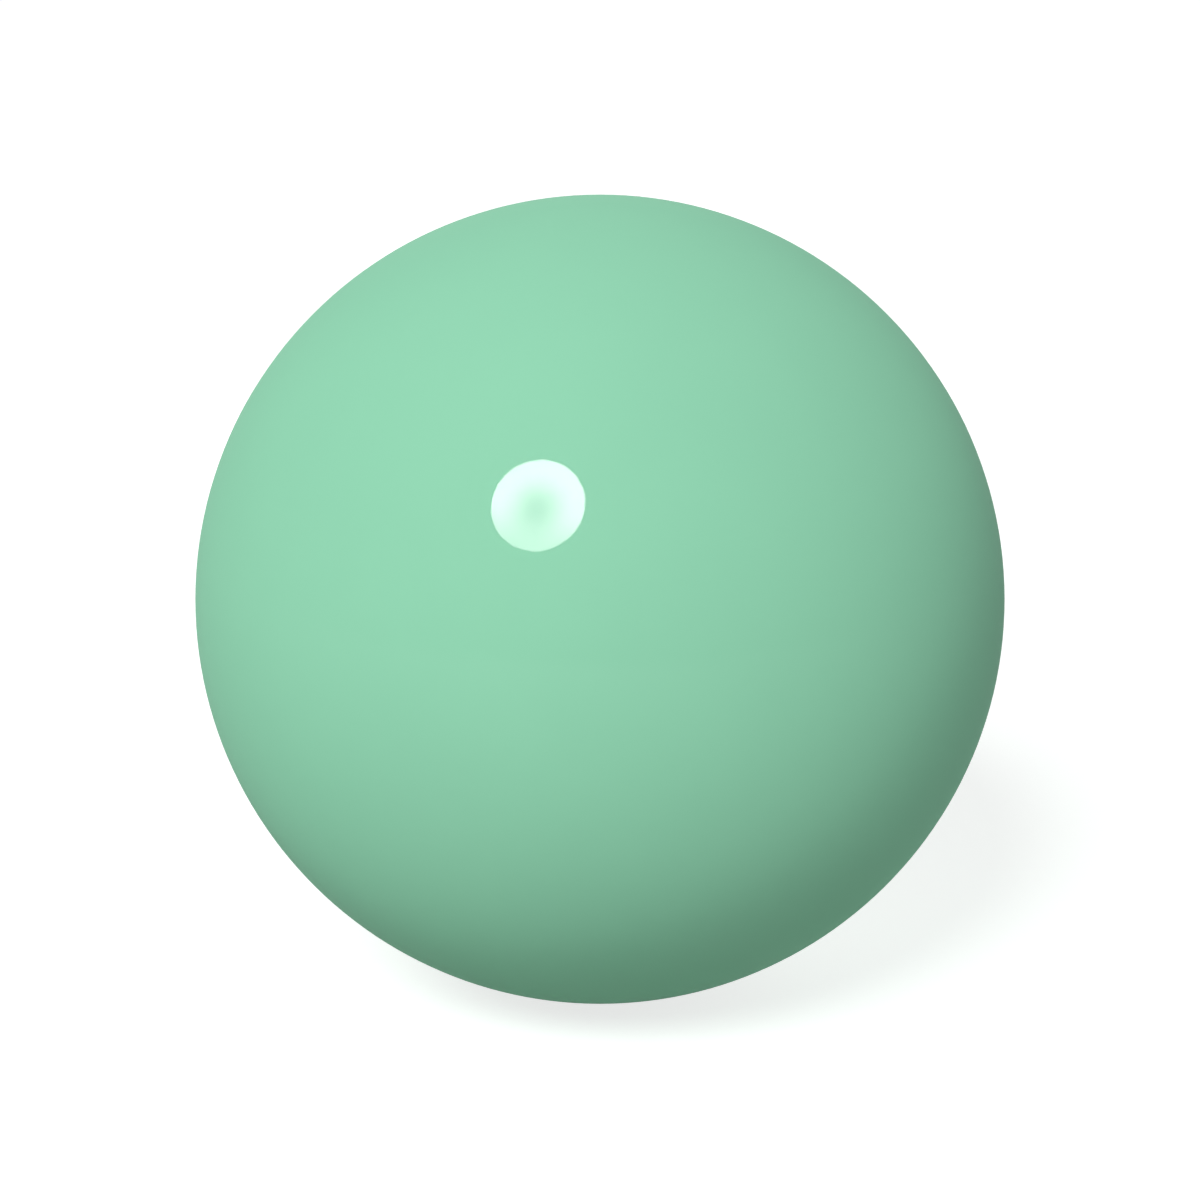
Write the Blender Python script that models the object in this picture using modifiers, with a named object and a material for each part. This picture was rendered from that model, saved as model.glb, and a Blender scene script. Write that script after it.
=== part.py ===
"""Rhythmic gymnastics ball: a hollow rubber shell, a bonded-in valve seat and a pull-out plug.

Metres, +Z up. The origin is the centre of the ball and the valve looks out along +Y.
Every piece is turned about the valve axis, so each one is a half profile in (radius, height)
with a Screw modifier. Heights are measured from the centre of the ball along the valve axis.
"""

import math

import bpy

MM = 0.001

# Shell
BALL_DIAMETER = 185.0 * MM
WALL = 3.2 * MM

# Valve bore and the plug that closes it
BORE_DIAMETER = 5.2 * MM
PLUG_CLEARANCE = 0.1 * MM
HEAD_LIP = 1.8 * MM
HEAD_THICKNESS = 1.5 * MM
HEAD_ROUNDING = 0.35 * MM
HEAD_SIDE_GAP = 0.3 * MM
HEAD_SEAT_GAP = 0.3 * MM
HEAD_SINK = 0.2 * MM
RIB_COUNT = 3
RIB_HEIGHT = 0.4 * MM
TIP_TAPER = 2.5 * MM
TIP_DIAMETER = 2.4 * MM
PULLER_HOLE_DIAMETER = 1.8 * MM
PULLER_HOLE_DEPTH = 6.0 * MM

# Valve seat, bonded into the wall of the shell
RIM_WIDTH = 1.4 * MM
BOND_GAP = 0.3 * MM
FLANGE_OVERLAP = 8.0 * MM
FLANGE_THICKNESS = 2.0 * MM
FLANGE_EDGE = 1.0 * MM
PAD_MARGIN = 3.0 * MM
STEM_WALL = 2.2 * MM
STEM_LENGTH = 8.0 * MM
STEM_ROUNDING = 0.8 * MM

# Facets
SHELL_SIDES = 64
VALVE_SIDES = 32
OUTER_ARC_STEPS = 16
INNER_ARC_STEPS = 9
ROUNDING_STEPS = 3
RIB_STEPS = 6
MERGE_DISTANCE = 0.001 * MM
SMOOTH_ANGLE = math.radians(40)

# Radii from the valve axis, worked outward from the bore
bore_radius = BORE_DIAMETER / 2
rib_radius = bore_radius - PLUG_CLEARANCE
shank_radius = rib_radius - RIB_HEIGHT
head_radius = rib_radius + HEAD_LIP
recess_radius = head_radius + HEAD_SIDE_GAP
neck_radius = recess_radius + RIM_WIDTH
hole_radius = neck_radius + BOND_GAP
flange_radius = hole_radius + FLANGE_OVERLAP
pad_radius = flange_radius + PAD_MARGIN
stem_radius = bore_radius + STEM_WALL
tip_radius = TIP_DIAMETER / 2
puller_hole_radius = PULLER_HOLE_DIAMETER / 2

# Heights along the valve axis, worked inward from the ball's surface
outer_radius = BALL_DIAMETER / 2
inner_radius = outer_radius - WALL
face_height = math.sqrt(outer_radius**2 - hole_radius**2)
pad_height = math.sqrt(inner_radius**2 - pad_radius**2)
flange_top = pad_height - BOND_GAP
flange_bottom = flange_top - FLANGE_THICKNESS
stem_end = flange_bottom - STEM_LENGTH
head_top = face_height - HEAD_SINK
head_bottom = head_top - HEAD_THICKNESS
recess_floor = head_bottom - HEAD_SEAT_GAP

# Finishes: linear colour and roughness
MINT = (0.30, 0.66, 0.45, 1.0)
MINT_ROUGHNESS = 0.15
PALE_MINT = (0.33, 0.64, 0.46, 1.0)
PALE_MINT_ROUGHNESS = 0.4
WHITE = (0.86, 0.88, 0.85, 1.0)
WHITE_ROUGHNESS = 0.35


def clear_scene():
    """Remove every object that the file starts with."""
    for obj in list(bpy.data.objects):
        bpy.data.objects.remove(obj, do_unlink=True)


def make_material(name, colour, roughness):
    """A plain dielectric finish: painted rubber or moulded plastic."""
    material = bpy.data.materials.new(name)
    material.use_nodes = True
    shader = material.node_tree.nodes["Principled BSDF"]
    shader.inputs["Base Color"].default_value = colour
    shader.inputs["Roughness"].default_value = roughness
    shader.inputs["Metallic"].default_value = 0.0
    material.diffuse_color = colour
    return material


def arc(centre, radius, start, end, steps):
    """Points of a circular arc in the profile plane, both ends included. Angles run from the +radius axis."""
    points = []
    for step in range(steps + 1):
        angle = start + (end - start) * step / steps
        points.append((centre[0] + radius * math.cos(angle), centre[1] + radius * math.sin(angle)))
    return points


def turned(name, profile, closed, sides, material, parent, height=0.0):
    """A solid of revolution about the valve axis, with its origin on that axis at the given height."""
    count = len(profile)
    edges = [(i, i + 1) for i in range(count - 1)]
    if closed:
        edges.append((count - 1, 0))
    outline = bpy.data.meshes.new(name + "_profile")
    outline.from_pydata([(radius, 0.0, level - height) for radius, level in profile], edges, [])
    obj = bpy.data.objects.new(name, outline)
    parts.objects.link(obj)
    obj.parent = parent
    obj.location = (0.0, 0.0, height)
    screw = obj.modifiers.new("turn", "SCREW")
    screw.axis = "Z"
    screw.angle = math.tau
    screw.steps = sides
    screw.render_steps = sides
    screw.use_merge_vertices = True
    screw.merge_threshold = MERGE_DISTANCE
    graph = bpy.context.evaluated_depsgraph_get()
    solid = bpy.data.meshes.new_from_object(obj.evaluated_get(graph))
    solid.name = name
    solid.shade_smooth()
    solid.set_sharp_from_angle(angle=SMOOTH_ANGLE)
    solid.materials.append(material)
    obj.modifiers.clear()
    obj.data = solid
    return obj


def shell_profile():
    """Inner wall from the far pole up to the flat valve pad, through the valve hole, and back over the outside."""
    pad_angle = math.atan2(pad_height, pad_radius)
    hole_angle = math.atan2(face_height, hole_radius)
    pole = -math.pi / 2
    inner = arc((0.0, 0.0), inner_radius, pole, 0.0, INNER_ARC_STEPS)
    inner += arc((0.0, 0.0), inner_radius, 0.0, pad_angle, INNER_ARC_STEPS)[1:]
    outer = arc((0.0, 0.0), outer_radius, hole_angle, 0.0, OUTER_ARC_STEPS)
    outer += arc((0.0, 0.0), outer_radius, 0.0, pole, OUTER_ARC_STEPS)[1:]
    inner[0] = (0.0, -inner_radius)
    outer[-1] = (0.0, -outer_radius)
    return inner + [(hole_radius, pad_height)] + outer


def seat_profile():
    """Closed loop: face, neck through the wall, flange under the pad, stem, and back up the bore to the recess."""
    rounding = arc(
        (stem_radius - STEM_ROUNDING, stem_end + STEM_ROUNDING),
        STEM_ROUNDING,
        0.0,
        -math.pi / 2,
        ROUNDING_STEPS,
    )
    outside = [
        (recess_radius, face_height),
        (neck_radius, face_height),
        (neck_radius, flange_top),
        (flange_radius, flange_top),
        (flange_radius, flange_top - FLANGE_EDGE),
        (stem_radius, flange_bottom),
    ]
    inside = [
        (bore_radius, stem_end),
        (bore_radius, recess_floor),
        (recess_radius, recess_floor),
    ]
    return outside + rounding + inside


def plug_profile():
    """Puller hole, rounded head, ribbed shank and tapered tip."""
    profile = [
        (0.0, head_top - PULLER_HOLE_DEPTH),
        (puller_hole_radius, head_top - PULLER_HOLE_DEPTH),
        (puller_hole_radius, head_top),
    ]
    profile += arc(
        (head_radius - HEAD_ROUNDING, head_top - HEAD_ROUNDING),
        HEAD_ROUNDING,
        math.pi / 2,
        0.0,
        ROUNDING_STEPS,
    )
    profile += [(head_radius, head_bottom), (shank_radius, head_bottom)]
    taper_top = stem_end + TIP_TAPER
    pitch = (head_bottom - taper_top) / RIB_COUNT
    for rib in range(RIB_COUNT):
        middle = head_bottom - (rib + 0.5) * pitch
        profile += arc((shank_radius, middle), RIB_HEIGHT, math.pi / 2, -math.pi / 2, RIB_STEPS)
    profile += [
        (shank_radius, taper_top),
        (tip_radius, stem_end),
        (0.0, stem_end),
    ]
    return profile


clear_scene()
parts = bpy.data.collections.new("rhythmic_gymnastics_ball")
bpy.context.scene.collection.children.link(parts)

# The profiles are turned about their own Z, which this empty lays along the ball's +Y.
valve_axis = bpy.data.objects.new("valve_axis", None)
valve_axis.rotation_euler = (-math.pi / 2, 0.0, 0.0)
parts.objects.link(valve_axis)

gloss_mint = make_material("gloss_mint_lacquer", MINT, MINT_ROUGHNESS)
satin_mint = make_material("satin_mint_rubber", PALE_MINT, PALE_MINT_ROUGHNESS)
white_plastic = make_material("soft_white_plastic", WHITE, WHITE_ROUGHNESS)

turned("ball_shell", shell_profile(), False, SHELL_SIDES, gloss_mint, valve_axis)
turned("valve_seat", seat_profile(), True, VALVE_SIDES, satin_mint, valve_axis)
turned("valve_plug", plug_profile(), False, VALVE_SIDES, white_plastic, valve_axis, face_height)
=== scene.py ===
import math

import bmesh
import bpy
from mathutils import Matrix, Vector


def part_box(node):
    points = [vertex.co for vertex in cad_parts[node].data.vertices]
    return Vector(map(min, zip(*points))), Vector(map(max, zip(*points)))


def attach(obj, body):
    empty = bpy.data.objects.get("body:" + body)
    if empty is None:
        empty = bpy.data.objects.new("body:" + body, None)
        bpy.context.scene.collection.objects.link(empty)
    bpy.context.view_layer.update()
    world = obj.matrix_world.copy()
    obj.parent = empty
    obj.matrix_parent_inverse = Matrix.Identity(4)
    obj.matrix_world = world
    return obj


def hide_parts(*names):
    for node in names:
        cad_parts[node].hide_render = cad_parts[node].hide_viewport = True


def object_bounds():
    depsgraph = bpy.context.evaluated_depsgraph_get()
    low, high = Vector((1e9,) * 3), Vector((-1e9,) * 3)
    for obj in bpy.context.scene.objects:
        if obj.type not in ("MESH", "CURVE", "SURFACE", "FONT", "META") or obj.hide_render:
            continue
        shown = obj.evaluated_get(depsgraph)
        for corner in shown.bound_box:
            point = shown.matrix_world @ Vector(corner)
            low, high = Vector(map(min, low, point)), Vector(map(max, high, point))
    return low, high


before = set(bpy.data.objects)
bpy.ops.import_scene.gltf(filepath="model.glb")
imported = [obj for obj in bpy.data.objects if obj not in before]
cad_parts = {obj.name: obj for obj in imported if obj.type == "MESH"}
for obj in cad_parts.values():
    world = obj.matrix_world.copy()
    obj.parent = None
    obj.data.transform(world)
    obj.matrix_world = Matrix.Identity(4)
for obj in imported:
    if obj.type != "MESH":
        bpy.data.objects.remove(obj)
cad_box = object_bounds()

# Ball shell: one hollow rubber moulding, buffed along the parting line of its mould and sprayed
# with mint lacquer. Round the valve hole its lip is rounded over, and inside there is a flat pad
# that the valve seat is bonded to.
MM = 0.001
WALL = 3.2 * MM
VALVE_HOLE_RADIUS = 6.3 * MM
VALVE_HOLE_LIP = 0.45 * MM
PAD_RADIUS = 17.3 * MM
PARTING_LINE_HEIGHT = 0.02 * MM
PARTING_LINE_WIDTH = 0.5 * MM
PARTING_LINE_ZONE = 1.6 * MM
PARTING_LINE_ROWS = 16
SHELL_SIDES = 192
SHELL_ROWS = 48
INSIDE_ROWS = 20
LIP_ROWS = 6
CRISP_ANGLE = math.radians(40)
MERGE_DISTANCE = 0.0005 * MM
SORTING_SLANT = Vector((1.0, math.e, math.pi))

MINT = (0.258, 0.604, 0.405, 1.0)
MINT_DEEPER = (0.248, 0.586, 0.393, 1.0)
MINT_CLOUD_SIZE = 60 * MM
PAINT_CHALKINESS = 0.16
PAINT_GLOSS = 0.0
LACQUER_GLOSS = (0.071, 0.080)
LACQUER_GLOSS_PATCH_SIZE = 25 * MM
LACQUER_ROUGHNESS = 0.03
LACQUER_IOR = 3.0
ORANGE_PEEL_SIZE = 4 * MM
ORANGE_PEEL_DEPTH = 0.006 * MM
PLAIN_DETAIL = 2.0
MIDDLING_DETAIL = 3.0
FINE_DETAIL = 4.0
NOISE_SPAN = (0.3, 0.7)


def arc(centre, radius, start, end, steps):
    """Points of a circular arc as (radius, height), both ends included."""
    points = []
    for step in range(steps + 1):
        angle = start + (end - start) * step / steps
        points.append((centre[0] + radius * math.cos(angle), centre[1] + radius * math.sin(angle)))
    return points


def turned(name, profile, sides, closed=False):
    """A smooth piece turned about the valve axis, +Y, from points as (radius, height along it)."""
    shape = bmesh.new()
    points = [shape.verts.new((radius, height, 0.0)) for radius, height in profile]
    edges = [shape.edges.new(pair) for pair in zip(points, points[1:])]
    if closed:
        edges.append(shape.edges.new((points[-1], points[0])))
    bmesh.ops.spin(
        shape,
        geom=points + edges,
        axis=(0.0, 1.0, 0.0),
        cent=(0.0, 0.0, 0.0),
        angle=math.tau,
        steps=sides,
        use_merge=True,
    )
    bmesh.ops.remove_doubles(shape, verts=shape.verts, dist=MERGE_DISTANCE)
    bmesh.ops.recalc_face_normals(shape, faces=shape.faces)
    # The spin leaves its faces in another order each run, so they are sorted by where they are.
    shape.faces.sort(key=lambda face: SORTING_SLANT.dot(face.calc_center_median()))
    mesh = bpy.data.meshes.new(name)
    shape.to_mesh(mesh)
    shape.free()
    mesh.shade_smooth()
    mesh.set_sharp_from_angle(angle=CRISP_ANGLE)
    piece = bpy.data.objects.new(name, mesh)
    bpy.context.scene.collection.objects.link(piece)
    return piece


def new_material(name):
    """A material, its node tree, its Principled shader and the place on the piece, for textures."""
    material = bpy.data.materials.new(name)
    material.use_nodes = True
    tree = material.node_tree
    place = tree.nodes.new("ShaderNodeTexCoord").outputs["Object"]
    return material, tree, tree.nodes["Principled BSDF"], place


def noise(tree, place, size, detail):
    """Noise from 0 to 1, whose blotches are about size metres across."""
    node = tree.nodes.new("ShaderNodeTexNoise")
    node.inputs["Scale"].default_value = 1.0 / size
    node.inputs["Detail"].default_value = detail
    tree.links.new(place, node.inputs["Vector"])
    return node.outputs["Fac"]


def ranged(tree, value, low, high, span=NOISE_SPAN, eased=False):
    """A number from low to high, as value goes through a span. Most noise lies in NOISE_SPAN."""
    node = tree.nodes.new("ShaderNodeMapRange")
    node.interpolation_type = "SMOOTHSTEP" if eased else "LINEAR"
    node.inputs["From Min"].default_value = span[0]
    node.inputs["From Max"].default_value = span[1]
    node.inputs["To Min"].default_value = low
    node.inputs["To Max"].default_value = high
    tree.links.new(value, node.inputs["Value"])
    return node.outputs["Result"]


def mixed(tree, factor, colour_a, colour_b):
    """A colour between two: each is a colour or another node's output."""
    node = tree.nodes.new("ShaderNodeMix")
    node.data_type = "RGBA"
    tree.links.new(factor, node.inputs["Factor"])
    for socket, colour in (("A", colour_a), ("B", colour_b)):
        target = next(s for s in node.inputs if s.name == socket and s.type == "RGBA")
        if isinstance(colour, bpy.types.NodeSocket):
            tree.links.new(colour, target)
        else:
            target.default_value = colour
    return next(s for s in node.outputs if s.type == "RGBA")


def bumped(tree, height, depth):
    """A normal that follows a height from 0 to 1, depth metres deep."""
    node = tree.nodes.new("ShaderNodeBump")
    node.inputs["Distance"].default_value = depth
    tree.links.new(height, node.inputs["Height"])
    return node.outputs["Normal"]


ball_radius = cad_box[1].x
inner_radius = ball_radius - WALL
pad_height = math.sqrt(inner_radius**2 - PAD_RADIUS**2)
lip_radius = VALVE_HOLE_RADIUS + VALVE_HOLE_LIP
lip_height = math.sqrt(ball_radius**2 - lip_radius**2)
lip_centre = (lip_radius, lip_height - VALVE_HOLE_LIP)
ball_centre = (0.0, 0.0)
pole = -math.pi / 2
pad_angle = math.atan2(pad_height, PAD_RADIUS)
lip_angle = math.atan2(lip_height, lip_radius)
parting_angle = PARTING_LINE_ZONE / ball_radius

shell_profile = arc(ball_centre, inner_radius, pole, pad_angle, INSIDE_ROWS)
shell_profile[0] = (0.0, -inner_radius)
shell_profile += [(VALVE_HOLE_RADIUS, pad_height)]
shell_profile += arc(lip_centre, VALVE_HOLE_LIP, math.pi, math.pi / 2, LIP_ROWS)
shell_profile += arc(ball_centre, ball_radius, lip_angle, parting_angle, SHELL_ROWS)[1:]
for row in range(1, PARTING_LINE_ROWS):
    angle = parting_angle * (1 - 2 * row / PARTING_LINE_ROWS)
    rise = PARTING_LINE_HEIGHT * math.exp(-((angle * ball_radius / PARTING_LINE_WIDTH) ** 2))
    reach = ball_radius + rise
    shell_profile += [(reach * math.cos(angle), reach * math.sin(angle))]
shell_profile += arc(ball_centre, ball_radius, -parting_angle, pole, SHELL_ROWS)
shell_profile[-1] = (0.0, -ball_radius)

lacquer, tree, shader, place = new_material("mint_lacquer_on_rubber")
clouding = ranged(tree, noise(tree, place, MINT_CLOUD_SIZE, MIDDLING_DETAIL), 0.0, 1.0)
tree.links.new(mixed(tree, clouding, MINT, MINT_DEEPER), shader.inputs["Base Color"])
gloss = ranged(tree, noise(tree, place, LACQUER_GLOSS_PATCH_SIZE, FINE_DETAIL), *LACQUER_GLOSS)
tree.links.new(gloss, shader.inputs["Coat Weight"])
orange_peel = bumped(tree, noise(tree, place, ORANGE_PEEL_SIZE, PLAIN_DETAIL), ORANGE_PEEL_DEPTH)
tree.links.new(orange_peel, shader.inputs["Normal"])
tree.links.new(orange_peel, shader.inputs["Coat Normal"])
shader.inputs["Diffuse Roughness"].default_value = PAINT_CHALKINESS
shader.inputs["Specular IOR Level"].default_value = PAINT_GLOSS
shader.inputs["Coat Roughness"].default_value = LACQUER_ROUGHNESS
shader.inputs["Coat IOR"].default_value = LACQUER_IOR

ball = turned("lacquered_ball_shell", shell_profile, SHELL_SIDES)
ball.data.materials.append(lacquer)
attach(ball, "ball")
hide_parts("ball_shell")

# Valve seat: soft moulded rubber in the ball's colour, with a satin surface because it is bonded
# in after spraying. A flat rim shows, its neck fills the hole in the shell, and the flange below
# is glued to the pad inside.
BORE_RADIUS = 2.6 * MM
BORE_MOUTH_ROUNDING = 0.35 * MM
BORE_END_ROUNDING = 0.4 * MM
RECESS_RADIUS = 4.6 * MM
RECESS_DEPTH = 2.0 * MM
RECESS_CORNER_ROUNDING = 0.25 * MM
RIM_INNER_ROUNDING = 0.3 * MM
RIM_OUTER_ROUNDING = 0.45 * MM
NECK_CLEARANCE = 0.06 * MM
NECK_ROOT_ROUNDING = 0.25 * MM
FLANGE_THICKNESS = 2.0 * MM
FLANGE_EDGE = 1.0 * MM
FLANGE_ROUNDING = 0.4 * MM
STEM_WALL = 2.2 * MM
STEM_ROOT_ROUNDING = 1.2 * MM
STEM_END_ROUNDING = 0.8 * MM
BOND_GAP = 0.3 * MM
SEAT_SIDES = 96
ROUNDING_ROWS = 5

SEAT_MINT = (0.250, 0.590, 0.410, 1.0)
SEAT_MINT_DEEPER = (0.215, 0.535, 0.365, 1.0)
SEAT_CLOUD_SIZE = 6 * MM
SEAT_ROUGHNESS = (0.36, 0.5)
SEAT_ROUGHNESS_PATCH_SIZE = 2 * MM
MOULD_GRAIN_SIZE = 0.35 * MM
MOULD_GRAIN_DEPTH = 0.012 * MM


def rounded(corners, closed=False):
    """A profile from corners given as (radius, height, rounding), each rounded over with an arc."""
    count = len(corners)
    points = []
    for index, (radius, height, rounding) in enumerate(corners):
        corner = Vector((radius, height))
        is_end = not closed and index in (0, count - 1)
        if is_end or not rounding:
            points.append(tuple(corner))
            continue
        before = (Vector(corners[index - 1][:2]) - corner).normalized()
        after = (Vector(corners[(index + 1) % count][:2]) - corner).normalized()
        half_angle = before.angle(after) / 2
        reach = rounding / math.tan(half_angle)
        centre = corner + (before + after).normalized() * rounding / math.sin(half_angle)
        start = corner + before * reach - centre
        end = corner + after * reach - centre
        turn = start.angle_signed(end)
        first = math.atan2(start.y, start.x)
        points += arc(centre, rounding, first, first - turn, ROUNDING_ROWS)
    return points


seat_low, seat_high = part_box("valve_seat")
face_height = seat_high.y
stem_end = seat_low.y
flange_radius = seat_high.x
flange_top = pad_height - BOND_GAP
flange_bottom = flange_top - FLANGE_THICKNESS
neck_radius = VALVE_HOLE_RADIUS - NECK_CLEARANCE
stem_radius = BORE_RADIUS + STEM_WALL
recess_bottom = face_height - RECESS_DEPTH

seat_corners = [
    (RECESS_RADIUS, face_height, RIM_INNER_ROUNDING),
    (neck_radius, face_height, RIM_OUTER_ROUNDING),
    (neck_radius, flange_top, NECK_ROOT_ROUNDING),
    (flange_radius, flange_top, FLANGE_ROUNDING),
    (flange_radius, flange_top - FLANGE_EDGE, FLANGE_ROUNDING),
    (stem_radius, flange_bottom, STEM_ROOT_ROUNDING),
    (stem_radius, stem_end, STEM_END_ROUNDING),
    (BORE_RADIUS, stem_end, BORE_END_ROUNDING),
    (BORE_RADIUS, recess_bottom, BORE_MOUTH_ROUNDING),
    (RECESS_RADIUS, recess_bottom, RECESS_CORNER_ROUNDING),
]

seat_rubber, tree, shader, place = new_material("satin_mint_rubber")
clouding = ranged(tree, noise(tree, place, SEAT_CLOUD_SIZE, MIDDLING_DETAIL), 0.0, 1.0)
tree.links.new(mixed(tree, clouding, SEAT_MINT, SEAT_MINT_DEEPER), shader.inputs["Base Color"])
satin = ranged(tree, noise(tree, place, SEAT_ROUGHNESS_PATCH_SIZE, FINE_DETAIL), *SEAT_ROUGHNESS)
tree.links.new(satin, shader.inputs["Roughness"])
mould_grain = bumped(tree, noise(tree, place, MOULD_GRAIN_SIZE, MIDDLING_DETAIL), MOULD_GRAIN_DEPTH)
tree.links.new(mould_grain, shader.inputs["Normal"])

valve_seat = turned("bonded_valve_seat", rounded(seat_corners, closed=True), SEAT_SIDES, closed=True)
valve_seat.data.materials.append(seat_rubber)
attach(valve_seat, "ball")
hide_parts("valve_seat")

# Valve plug: white soft plastic, moulded in one piece and held by its ribs in the seat's bore.
# The head sits in the recess a little below the rim, and a small blind hole takes the hook that
# pulls it out.
HEAD_THICKNESS = 1.5 * MM
HEAD_CROWN = 0.12 * MM
HEAD_EDGE_ROUNDING = 0.5 * MM
HEAD_UNDERSIDE_ROUNDING = 0.25 * MM
SHANK_RADIUS = 2.1 * MM
RIB_COUNT = 3
RIB_HEIGHT = 0.4 * MM
RIB_ROWS = 12
TIP_TAPER = 2.5 * MM
TIP_RADIUS = 1.2 * MM
TIP_SHOULDER_ROUNDING = 0.8 * MM
TIP_END_ROUNDING = 0.6 * MM
PULLER_HOLE_RADIUS = 0.9 * MM
PULLER_HOLE_DEPTH = 6.0 * MM
PULLER_HOLE_CONE = 0.5 * MM
PULLER_HOLE_MOUTH_ROUNDING = 0.3 * MM
PULLER_HOLE_FOOT_ROUNDING = 0.1 * MM
PLUG_SIDES = 96

PLUG_WHITE = (0.84, 0.86, 0.83, 1.0)
PLUG_WHITE_DULLER = (0.78, 0.80, 0.76, 1.0)
PLUG_CLOUD_SIZE = 3 * MM
PLUG_ROUGHNESS = (0.28, 0.42)
PLUG_ROUGHNESS_PATCH_SIZE = 0.8 * MM
SPARK_GRAIN_SIZE = 0.2 * MM
SPARK_GRAIN_DEPTH = 0.006 * MM
PLUG_TRANSLUCENCY = 0.15
PLUG_TRANSLUCENCY_DEPTH = 0.6 * MM
PLUG_TRANSLUCENCY_WARMTH = (1.0, 0.9, 0.8)

plug_low, plug_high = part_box("valve_plug")
head_radius = plug_high.x
head_top = plug_high.y
head_bottom = head_top - HEAD_THICKNESS
hole_foot = head_top - PULLER_HOLE_DEPTH
tip_end = plug_low.y
taper_top = tip_end + TIP_TAPER
rib_pitch = (head_bottom - taper_top) / RIB_COUNT

plug_head = [
    (0.0, hole_foot - PULLER_HOLE_CONE, 0.0),
    (PULLER_HOLE_RADIUS, hole_foot, PULLER_HOLE_FOOT_ROUNDING),
    (PULLER_HOLE_RADIUS, head_top, PULLER_HOLE_MOUTH_ROUNDING),
    (head_radius, head_top - HEAD_CROWN, HEAD_EDGE_ROUNDING),
    (head_radius, head_bottom, HEAD_UNDERSIDE_ROUNDING),
    (SHANK_RADIUS, head_bottom, 0.0),
]
plug_tip = [
    (SHANK_RADIUS, taper_top + RIB_HEIGHT, 0.0),
    (SHANK_RADIUS, taper_top, TIP_SHOULDER_ROUNDING),
    (TIP_RADIUS, tip_end, TIP_END_ROUNDING),
    (0.0, tip_end, 0.0),
]
plug_profile = rounded(plug_head)
for rib in range(RIB_COUNT):
    rib_centre = (SHANK_RADIUS, head_bottom - (rib + 0.5) * rib_pitch)
    plug_profile += arc(rib_centre, RIB_HEIGHT, math.pi / 2, -math.pi / 2, RIB_ROWS)
plug_profile += rounded(plug_tip)

plug_plastic, tree, shader, place = new_material("soft_white_plastic")
clouding = ranged(tree, noise(tree, place, PLUG_CLOUD_SIZE, MIDDLING_DETAIL), 0.0, 1.0)
tree.links.new(mixed(tree, clouding, PLUG_WHITE, PLUG_WHITE_DULLER), shader.inputs["Base Color"])
sheen = ranged(tree, noise(tree, place, PLUG_ROUGHNESS_PATCH_SIZE, FINE_DETAIL), *PLUG_ROUGHNESS)
tree.links.new(sheen, shader.inputs["Roughness"])
spark_grain = bumped(tree, noise(tree, place, SPARK_GRAIN_SIZE, PLAIN_DETAIL), SPARK_GRAIN_DEPTH)
tree.links.new(spark_grain, shader.inputs["Normal"])
shader.inputs["Subsurface Weight"].default_value = PLUG_TRANSLUCENCY
shader.inputs["Subsurface Radius"].default_value = PLUG_TRANSLUCENCY_WARMTH
shader.inputs["Subsurface Scale"].default_value = PLUG_TRANSLUCENCY_DEPTH

valve_plug = turned("white_valve_plug", plug_profile, PLUG_SIDES)
valve_plug.data.materials.append(plug_plastic)
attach(valve_plug, "plug")
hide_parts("valve_plug")

# Floor: a wide sheet of pale matt card under the ball, which keeps the ball's soft shadow.
# To the eye and in reflections it glows as well, more with distance, so that it is white round the
# shadow. Its colour fades out further off, so that the gloss of the ball shows no horizon.
FLOOR_RADIUS = 30.0
FLOOR_SIDES = 128
FLOOR_PALE = (0.436, 0.476, 0.452, 1.0)
FLOOR_PALE_BETWEEN = (0.416, 0.456, 0.432, 1.0)
FLOOR_FADED = (0.0, 0.0, 0.0, 1.0)
FLOOR_FADE = (0.8, 3.0)
FLOOR_FIBRE_SIZE = 4 * MM
FLOOR_ROUGHNESS = 0.9
FLOOR_GLOSS = 0.0
FLOOR_GLOW_NEAR = 0.76
FLOOR_GLOW_FAR = 1.0
FLOOR_GLOW_RISE = (0.4, 2.0)
STUDIO_WHITE = (1.0, 1.0, 1.0, 1.0)


def combined(tree, operation, value, other):
    """A node's output combined with a number or with another node's output."""
    node = tree.nodes.new("ShaderNodeMath")
    node.operation = operation
    tree.links.new(value, node.inputs[0])
    if isinstance(other, bpy.types.NodeSocket):
        tree.links.new(other, node.inputs[1])
    else:
        node.inputs[1].default_value = other
    return node.outputs[0]


def looked_at(tree):
    """1 for what the eye sees, directly, mirrored or through something clear; 0 for light given."""
    rays = tree.nodes.new("ShaderNodeLightPath").outputs
    direct_or_mirrored = combined(tree, "MAXIMUM", rays["Is Camera Ray"], rays["Is Glossy Ray"])
    return combined(tree, "MAXIMUM", direct_or_mirrored, rays["Is Transmission Ray"])


floor_shape = bmesh.new()
bmesh.ops.create_circle(floor_shape, cap_ends=True, radius=FLOOR_RADIUS, segments=FLOOR_SIDES)
floor_mesh = bpy.data.meshes.new("pale_floor")
floor_shape.to_mesh(floor_mesh)
floor_shape.free()
floor = bpy.data.objects.new("pale_floor", floor_mesh)
floor.location.z = -ball_radius
bpy.context.scene.collection.objects.link(floor)

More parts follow.
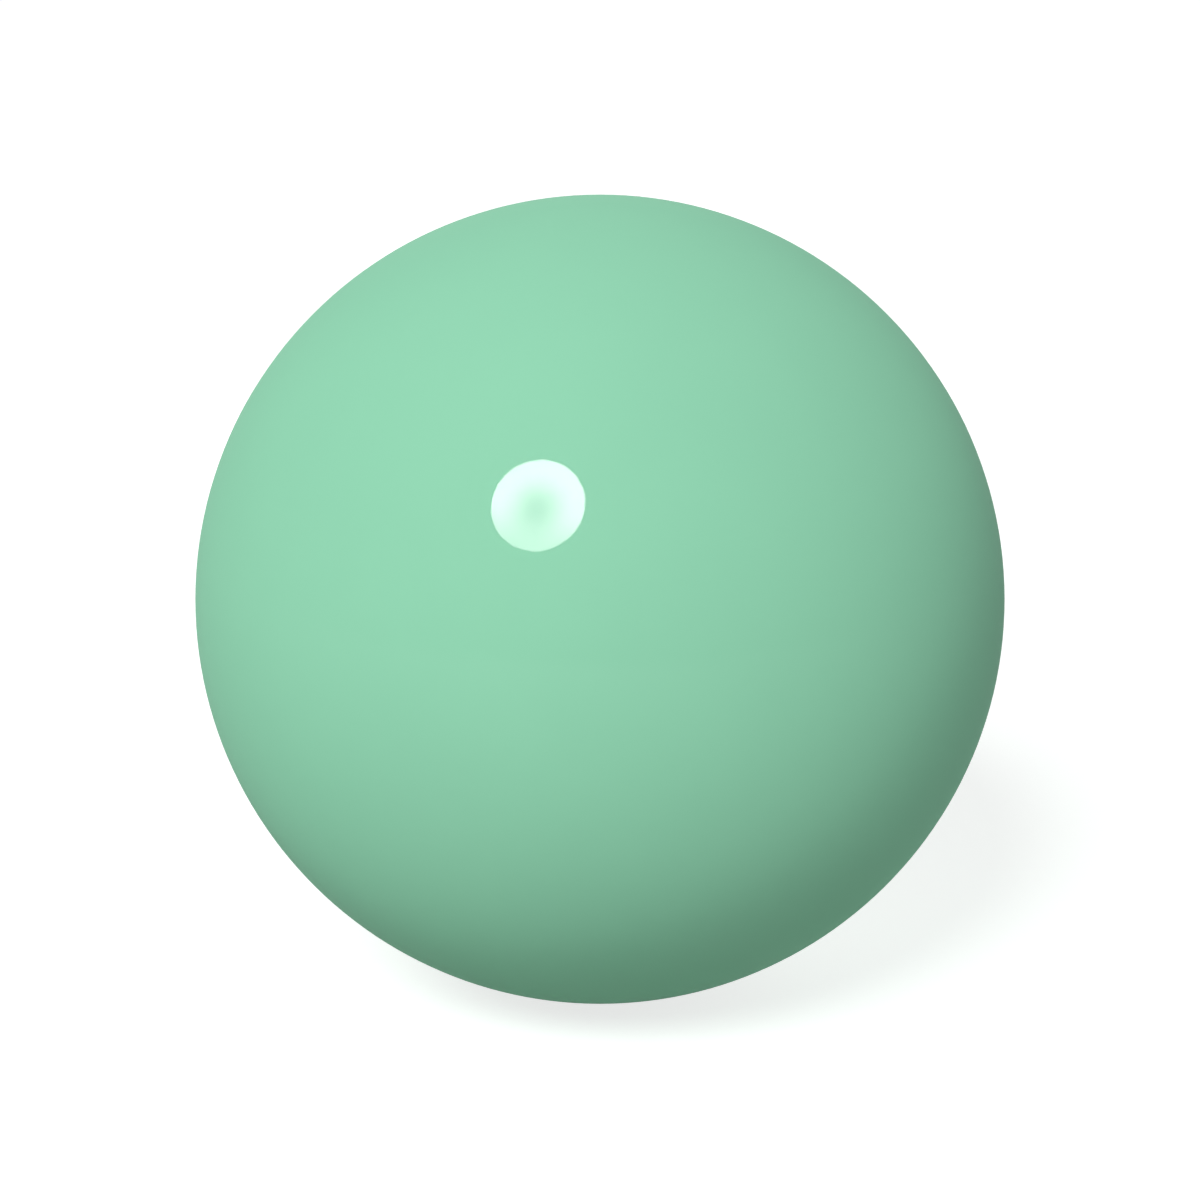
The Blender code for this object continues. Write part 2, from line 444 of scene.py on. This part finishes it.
card, tree, shader, place = new_material("pale_matt_card")
from_ball = tree.nodes.new("ShaderNodeVectorMath")
from_ball.operation = "LENGTH"
tree.links.new(place, from_ball.inputs[0])
distance = from_ball.outputs["Value"]
fibre = ranged(tree, noise(tree, place, FLOOR_FIBRE_SIZE, FINE_DETAIL), 0.0, 1.0)
pale = mixed(tree, fibre, FLOOR_PALE, FLOOR_PALE_BETWEEN)
faded = ranged(tree, distance, 0.0, 1.0, FLOOR_FADE)
tree.links.new(mixed(tree, faded, pale, FLOOR_FADED), shader.inputs["Base Color"])
glow = ranged(tree, distance, FLOOR_GLOW_NEAR, FLOOR_GLOW_FAR, FLOOR_GLOW_RISE)
glow = combined(tree, "MULTIPLY", glow, looked_at(tree))
tree.links.new(glow, shader.inputs["Emission Strength"])
shader.inputs["Emission Color"].default_value = STUDIO_WHITE
shader.inputs["Roughness"].default_value = FLOOR_ROUGHNESS
shader.inputs["Specular IOR Level"].default_value = FLOOR_GLOSS
floor_mesh.materials.append(card)

# Camera: a long lens a little above the ball's middle, so that the outline stays round, with the
# valve on the far side. The outline's size and place in the square picture set how far off the
# camera stands and how its lens is shifted.
PICTURE_PX = 1200
OUTLINE_CENTRE_PX = Vector((600.0, 599.2))
OUTLINE_RADIUS_PX = 404.7
LENS_MM = 100.0
SENSOR_MM = 36.0
CAMERA_ELEVATION = math.radians(15)

half_picture = PICTURE_PX / 2
picture_slope = SENSOR_MM / 2 / LENS_MM
outline_angle = math.atan(picture_slope * OUTLINE_RADIUS_PX / half_picture)
camera_distance = ball_radius / math.sin(outline_angle)
toward_camera = Vector((0.0, -math.cos(CAMERA_ELEVATION), math.sin(CAMERA_ELEVATION)))

camera_data = bpy.data.cameras.new("camera")
camera_data.lens = LENS_MM
camera_data.sensor_width = SENSOR_MM
camera_data.shift_x = (half_picture - OUTLINE_CENTRE_PX.x) / PICTURE_PX
camera_data.shift_y = (OUTLINE_CENTRE_PX.y - half_picture) / PICTURE_PX
camera = bpy.data.objects.new("camera", camera_data)
camera.location = camera_distance * toward_camera
camera.rotation_euler = (math.pi / 2 - CAMERA_ELEVATION, 0.0, 0.0)
bpy.context.scene.collection.objects.link(camera)
bpy.context.scene.camera = camera
bpy.context.scene.view_settings.view_transform = "Standard"

# Key light: a round studio dish in front of the ball, to the upper left, whose mirror image is the
# white glint. The glint's place in the picture sets the dish's direction. Its middle and its lower
# edge are dimmer.
GLINT_PX = Vector((537.7, 504.8))
DISH_DIAMETER = 1.79
DISH_DISTANCE = 4.0
DISH_RADIANCE = 29.4
DISH_MIDDLE = (0.5, 0.46, 0.0)
DISH_MIDDLE_LEVEL = 0.40
DISH_MIDDLE_SPAN = (0.025, 0.4)
DISH_LOWER_LEVEL = 0.57
DISH_LOWER_SPAN = (0.05, 0.5)

across = (GLINT_PX.x - OUTLINE_CENTRE_PX.x) / half_picture * picture_slope
upward = (OUTLINE_CENTRE_PX.y - GLINT_PX.y) / half_picture * picture_slope
bpy.context.view_layer.update()
glint_ray = (camera.matrix_world.to_3x3() @ Vector((across, upward, -1.0))).normalized()
nearness = camera.location.dot(glint_ray)
glint_reach = -nearness - math.sqrt(nearness**2 - camera.location.length_squared + ball_radius**2)
glint_point = camera.location + glint_ray * glint_reach
toward_dish = glint_ray.reflect(glint_point.normalized())

dish_area = math.pi * DISH_DIAMETER**2 / 4
dish_data = bpy.data.lights.new("key_dish", "AREA")
dish_data.shape = "DISK"
dish_data.size = DISH_DIAMETER
dish_data.energy = DISH_RADIANCE * math.pi * dish_area
dish_data.use_nodes = True
tree = dish_data.node_tree
on_dish = tree.nodes.new("ShaderNodeNewGeometry").outputs["Parametric"]
from_middle = tree.nodes.new("ShaderNodeVectorMath")
from_middle.operation = "DISTANCE"
from_middle.inputs[1].default_value = DISH_MIDDLE
tree.links.new(on_dish, from_middle.inputs[0])
height_on_dish = tree.nodes.new("ShaderNodeSeparateXYZ")
tree.links.new(on_dish, height_on_dish.inputs[0])
ring = ranged(
    tree, from_middle.outputs["Value"], DISH_MIDDLE_LEVEL, 1.0, DISH_MIDDLE_SPAN, eased=True
)
upper = ranged(tree, height_on_dish.outputs["Y"], DISH_LOWER_LEVEL, 1.0, DISH_LOWER_SPAN, eased=True)
dish_level = combined(tree, "MULTIPLY", ring, upper)
tree.links.new(dish_level, tree.nodes["Emission"].inputs["Strength"])
dish = bpy.data.objects.new("key_dish", dish_data)
dish.location = glint_point + toward_dish * DISH_DISTANCE
dish.rotation_mode = "QUATERNION"
dish.rotation_quaternion = toward_dish.to_track_quat("Z", "Y")
bpy.context.scene.collection.objects.link(dish)

# Fill light: broad soft lights on the walls of a white studio, given as the side that each is on
# and its level: behind the ball, on its right, and behind its left.
# To the eye and in reflections the whole studio is plain white.
SOFT_LIGHT_NARROWING = 6.0
SOFT_LIGHTS = (
    ((0.0, 1.0, 0.0), 4.0),
    ((1.0, 0.0, 0.0), 1.4),
    ((-1.0, 1.0, 0.0), 0.9),
)

world = bpy.data.worlds.new("soft_studio")
bpy.context.scene.world = world
world.use_nodes = True
tree = world.node_tree
direction = tree.nodes.new("ShaderNodeTexCoord").outputs["Generated"]
soft_light = 0.0
for side, level in SOFT_LIGHTS:
    toward = tree.nodes.new("ShaderNodeVectorMath")
    toward.operation = "DOT_PRODUCT"
    toward.inputs[1].default_value = Vector(side).normalized()
    tree.links.new(direction, toward.inputs[0])
    facing = combined(tree, "MAXIMUM", toward.outputs["Value"], 0.0)
    narrowed = combined(tree, "POWER", facing, SOFT_LIGHT_NARROWING)
    share = combined(tree, "MULTIPLY", narrowed, level)
    soft_light = combined(tree, "ADD", share, soft_light)
studio = mixed(tree, looked_at(tree), soft_light, STUDIO_WHITE)
tree.links.new(studio, tree.nodes["Background"].inputs["Color"])
